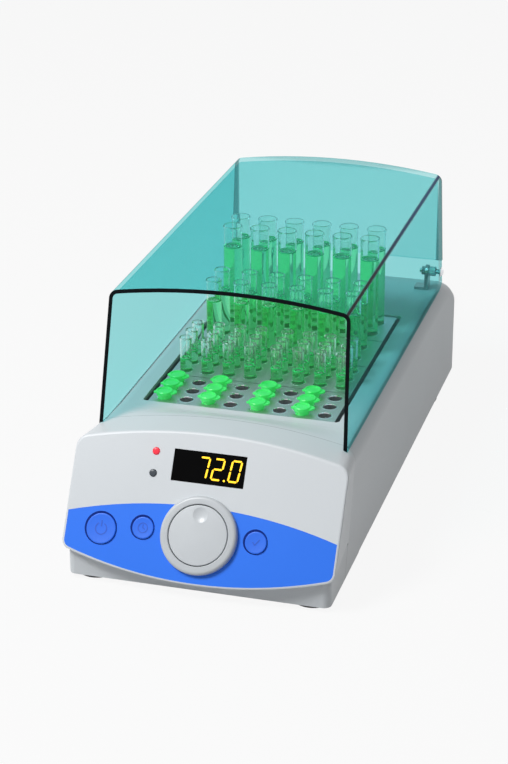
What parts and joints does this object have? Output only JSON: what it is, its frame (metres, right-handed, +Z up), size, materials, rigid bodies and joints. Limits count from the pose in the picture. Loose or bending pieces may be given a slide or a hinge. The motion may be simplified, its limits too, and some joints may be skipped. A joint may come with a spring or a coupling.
{
  "type": "dry block heater",
  "caption": "Bench dry block heater with a sloping control face, tube blocks in its deck and a hinged clear cover.",
  "frame": {"origin": "middle of the footprint, at the underside of the feet", "axes": "+Z up, -Y towards the control face at the front, +X to the right seen from the front"},
  "size_m": [0.2126, 0.4718, 0.2097],
  "materials": {
    "casing_plastic": "light grey, satin moulded plastic",
    "overlay_blue": "bright blue inlay and buttons",
    "bezel_plastic": "pale grey ring",
    "button_plastic": "off-white turning disc",
    "window_dark": "dark clear window",
    "black_plastic": "black moulding",
    "circuit_board": "green board",
    "led_red": "red lens",
    "led_dark": "unlit lens",
    "plain_steel": "plain steel",
    "bright_screw": "bright screw",
    "aluminium": "machined aluminium",
    "silicone": "red silicone mat",
    "insulation": "pale mineral felt",
    "tube_glass": "clear glass with green liquid",
    "microtube_green": "green moulded tubes",
    "tinted_acrylic": "clear teal acrylic sheet",
    "foot_rubber": "black rubber",
    "pin_brass": "plated pins"
  },
  "bodies": {
    "casing": {"housing": "casing_plastic", "front_cap": "casing_plastic", "control_overlay": "overlay_blue", "dial_bezel": "bezel_plastic", "display_window": "window_dark", "display_module": "black_plastic", "control_board": "circuit_board", "status_led": "led_red", "heating_led": "led_dark", "dial_encoder": "plain_steel", "button_switches": "black_plastic", "block_tray": "aluminium", "heater_mat": "silicone", "insulation_jacket": "insulation", "microtube_block": "aluminium", "small_tube_block": "aluminium", "medium_tube_block": "aluminium", "large_tube_block": "aluminium", "small_tubes": "tube_glass", "medium_tubes": "tube_glass", "large_tubes": "tube_glass", "microtubes": "microtube_green", "hinge_bracket_left": "plain_steel", "hinge_bracket_right": "plain_steel", "pivot_screws": "bright_screw", "hinge_spacers": "black_plastic", "pivot_nuts": "plain_steel", "base_plate": "plain_steel", "feet": "foot_rubber", "foot_screws": "plain_steel", "board_standoffs": "plain_steel", "power_board": "circuit_board", "power_supply": "black_plastic", "switch_heat_sink": "aluminium", "transformer": "plain_steel", "thermal_cutout": "black_plastic", "temperature_sensor": "plain_steel", "power_inlet": "black_plastic", "inlet_pins": "pin_brass"},
    "cover": {"cover": "tinted_acrylic"},
    "dial": {"dial": "button_plastic"},
    "power_button": {"power_button": "overlay_blue"},
    "timer_button": {"timer_button": "overlay_blue"},
    "set_button": {"set_button": "overlay_blue"}
  },
  "joints": [
    {"name": "cover_hinge", "type": "hinge", "parent": "casing", "child": "cover", "pos_m": [0, 0.186, 0.1175], "axis": [-1, 0, 0], "range_deg": [0, 90]},
    {"name": "dial_turn", "type": "hinge", "parent": "casing", "child": "dial", "pos_m": [0, -0.2171, 0.04623], "axis": [0, -0.8572, 0.515], "continuous": true},
    {"name": "power_push", "type": "slide", "parent": "casing", "child": "power_button", "axis": [0, 0.8572, -0.515], "range_m": [0, 0.001], "stiffness_N_per_m": 400},
    {"name": "timer_push", "type": "slide", "parent": "casing", "child": "timer_button", "axis": [0, 0.8572, -0.515], "range_m": [0, 0.001], "stiffness_N_per_m": 400},
    {"name": "set_push", "type": "slide", "parent": "casing", "child": "set_button", "axis": [0, 0.8572, -0.515], "range_m": [0, 0.001], "stiffness_N_per_m": 400}
  ]
}
